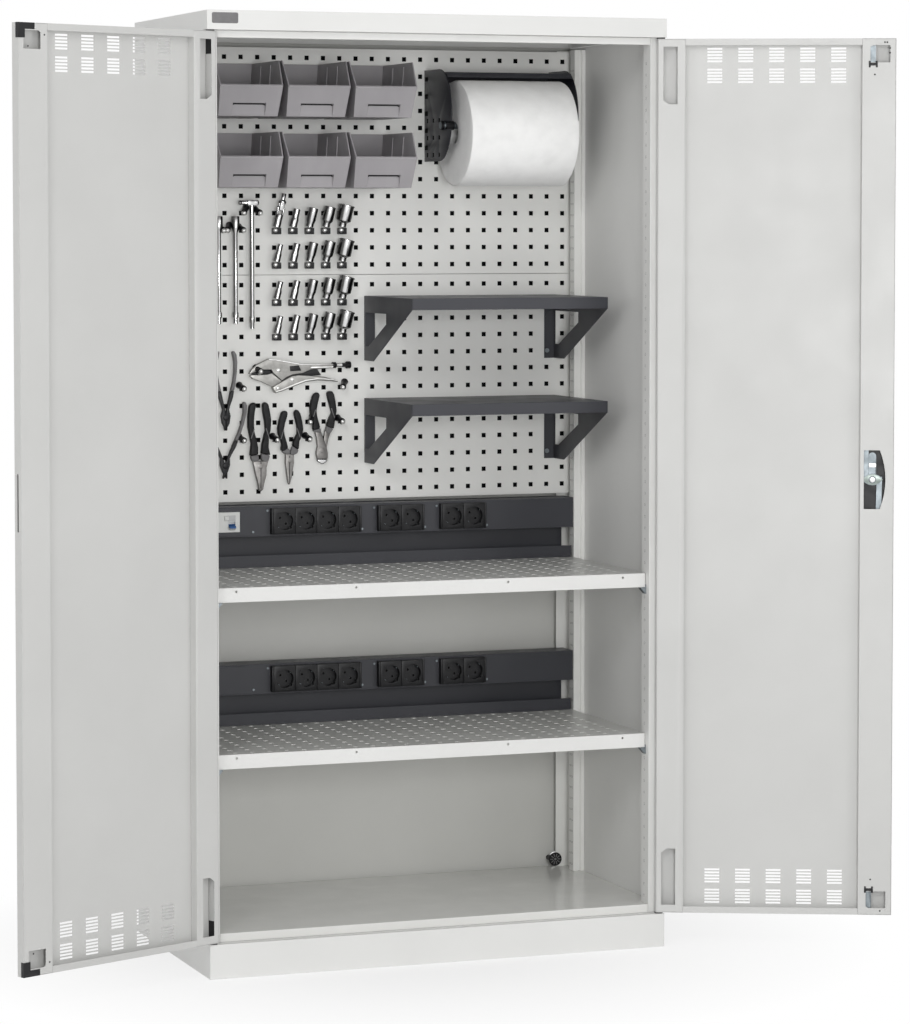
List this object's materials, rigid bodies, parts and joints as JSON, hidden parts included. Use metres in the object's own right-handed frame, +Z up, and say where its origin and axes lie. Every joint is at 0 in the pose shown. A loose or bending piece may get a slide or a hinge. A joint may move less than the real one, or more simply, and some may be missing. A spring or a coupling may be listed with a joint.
{
  "type": "battery charging cabinet",
  "caption": "A tall light-grey steel cabinet with both doors open: perforated back with hung tools, grey bins, paper roll, shelves and dark socket strips.",
  "frame": {"origin": "centre of the plinth's underside, on the floor", "axes": "+X right as seen from the front, +Y to the back, +Z up"},
  "size_m": [1.932, 0.7603, 2],
  "materials": {
    "light_paint": "satin powder coat",
    "dark_paint": "fine-textured powder coat",
    "bin_plastic": "smooth moulded polypropylene",
    "black_plastic": "fine moulded grain",
    "tool_steel": "polished chrome plate",
    "zinc_steel": "bright zinc plate",
    "grip_rubber": "dipped vinyl",
    "paper": "embossed tissue",
    "white_plastic": "smooth moulded",
    "blue_plastic": "smooth moulded"
  },
  "bodies": {
    "carcass": {"back_panel": "light_paint", "bin_rails": "dark_paint", "breaker_body": "white_plastic", "cable_gland": "black_plastic", "cable_troughs": "dark_paint", "circlip_pliers": "grip_rubber", "cover_plates": "dark_paint", "drive_bars": "tool_steel", "drive_sockets": "tool_steel", "floor_panel": "light_paint", "header_rail": "light_paint", "hinge_pins": "zinc_steel", "left_side_panel": "light_paint", "locking_pliers": "tool_steel", "lower_perforated_panel": "light_paint", "lower_shelf": "light_paint", "lower_socket_channel": "dark_paint", "lower_tool_shelf": "dark_paint", "outlet_blocks": "black_plastic", "pan_screws": "zinc_steel", "pivot_washers": "black_plastic", "pliers_grips": "grip_rubber", "pliers_heads": "tool_steel", "plinth": "light_paint", "rear_uprights": "light_paint", "right_side_panel": "light_paint", "roll_holder_cheeks": "dark_paint", "roll_holder_top": "dark_paint", "roll_spindle": "tool_steel", "shelf_clips": "light_paint", "socket_clips": "black_plastic", "tool_pegs": "black_plastic", "tool_shelf_brackets": "dark_paint", "top_cap": "light_paint", "upper_perforated_panel": "light_paint", "upper_shelf": "light_paint", "upper_socket_channel": "dark_paint", "upper_tool_shelf": "dark_paint"},
    "left_door": {"left_door_skin": "light_paint", "left_door_stiles": "light_paint", "left_hinge_blocks": "black_plastic", "corner_guards": "black_plastic"},
    "right_door": {"right_door_skin": "light_paint", "right_door_stiles": "light_paint", "right_hinge_blocks": "black_plastic", "handle_housing": "black_plastic"},
    "handle": {"swing_handle": "black_plastic", "latch_hub": "zinc_steel"},
    "lock": {"lock_cylinder": "zinc_steel"},
    "upper_rod": {"upper_lock_rod": "zinc_steel"},
    "lower_rod": {"lower_lock_rod": "zinc_steel"},
    "roll": {"paper_roll": "paper"},
    "breaker_toggle": {"breaker_lever": "black_plastic"},
    "breaker_button": {"test_button": "blue_plastic"},
    "upper_storage_left": {"upper_bin_left": "bin_plastic"},
    "upper_storage_middle": {"upper_bin_middle": "bin_plastic"},
    "upper_storage_right": {"upper_bin_right": "bin_plastic"},
    "lower_storage_left": {"lower_bin_left": "bin_plastic"},
    "lower_storage_middle": {"lower_bin_middle": "bin_plastic"},
    "lower_storage_right": {"lower_bin_right": "bin_plastic"}
  },
  "joints": [
    {"name": "left_door_swing", "type": "hinge", "parent": "carcass", "child": "left_door", "pos_m": [-0.502, -0.268, 1.016], "axis": [0, 0, 1], "range_deg": [-24, 156]},
    {"name": "right_door_swing", "type": "hinge", "parent": "carcass", "child": "right_door", "pos_m": [0.502, -0.268, 1.016], "axis": [0, 0, -1], "range_deg": [-24, 156]},
    {"name": "handle_turn", "type": "hinge", "parent": "right_door", "child": "handle", "pos_m": [0.91766, -0.45307, 1.015], "axis": [0.4067, 0.9135, 0], "range_deg": [0, 90]},
    {"name": "lock_turn", "type": "hinge", "parent": "handle", "child": "lock", "pos_m": [0.92722, -0.4316, 1.015], "axis": [0.4067, 0.9135, 0], "range_deg": [0, 90]},
    {"name": "upper_rod_slide", "type": "slide", "parent": "right_door", "child": "upper_rod", "axis": [0, 0, 1], "range_m": [0, 0.015]},
    {"name": "lower_rod_slide", "type": "slide", "parent": "right_door", "child": "lower_rod", "axis": [0, 0, -1], "range_m": [0, 0.015]},
    {"name": "roll_spin", "type": "hinge", "parent": "carcass", "child": "roll", "pos_m": [0.293, 0.104, 1.762], "axis": [1, 0, 0], "continuous": true},
    {"name": "breaker_switch", "type": "hinge", "parent": "carcass", "child": "breaker_toggle", "pos_m": [-0.324, 0.181, 0.9015], "axis": [-1, 0, 0], "range_deg": [0, 35]},
    {"name": "button_press", "type": "slide", "parent": "carcass", "child": "breaker_button", "axis": [0, 1, 0], "range_m": [0, 0.002], "stiffness_N_per_m": 200, "springref_m": -0.001},
    {"name": "upper_left_lift", "type": "slide", "parent": "carcass", "child": "upper_storage_left", "axis": [0, 0, 1], "range_m": [0, 0.02]},
    {"name": "upper_middle_lift", "type": "slide", "parent": "carcass", "child": "upper_storage_middle", "axis": [0, 0, 1], "range_m": [0, 0.02]},
    {"name": "upper_right_lift", "type": "slide", "parent": "carcass", "child": "upper_storage_right", "axis": [0, 0, 1], "range_m": [0, 0.02]},
    {"name": "lower_left_lift", "type": "slide", "parent": "carcass", "child": "lower_storage_left", "axis": [0, 0, 1], "range_m": [0, 0.02]},
    {"name": "lower_middle_lift", "type": "slide", "parent": "carcass", "child": "lower_storage_middle", "axis": [0, 0, 1], "range_m": [0, 0.02]},
    {"name": "lower_right_lift", "type": "slide", "parent": "carcass", "child": "lower_storage_right", "axis": [0, 0, 1], "range_m": [0, 0.02]}
  ],
  "couplings": [
    {"joint": "handle_turn", "follows": "upper_rod_slide", "rad_per_m": 104.71},
    {"joint": "lower_rod_slide", "follows": "upper_rod_slide", "ratio": 1}
  ]
}
